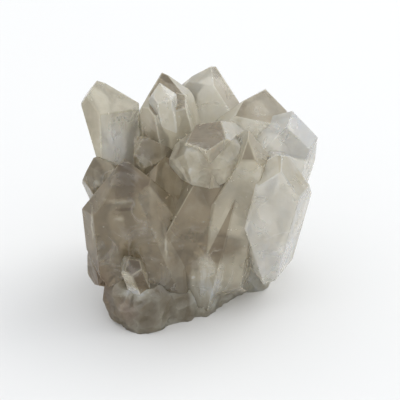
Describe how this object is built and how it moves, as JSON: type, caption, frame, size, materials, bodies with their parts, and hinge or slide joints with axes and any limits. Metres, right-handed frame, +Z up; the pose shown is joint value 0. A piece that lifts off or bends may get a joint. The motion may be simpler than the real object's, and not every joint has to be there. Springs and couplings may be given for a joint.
{
  "type": "quartz crystal cluster",
  "caption": "Free-standing cluster of six-sided quartz crystals with pointed tips, grown together on a rough crystalline root, with a flat base to stand on.",
  "frame": {"origin": "on the flat cut base, near the middle of the cluster", "axes": "+Z up, out of the base; -Y towards the side that is seen from the front; +X to the right of that view"},
  "size_m": [0.099, 0.0898, 0.0995],
  "materials": {
    "quartz": "natural crystal faces, partly clear"
  },
  "bodies": {
    "root": {"quartz_cluster": "quartz"}
  },
  "joints": []
}
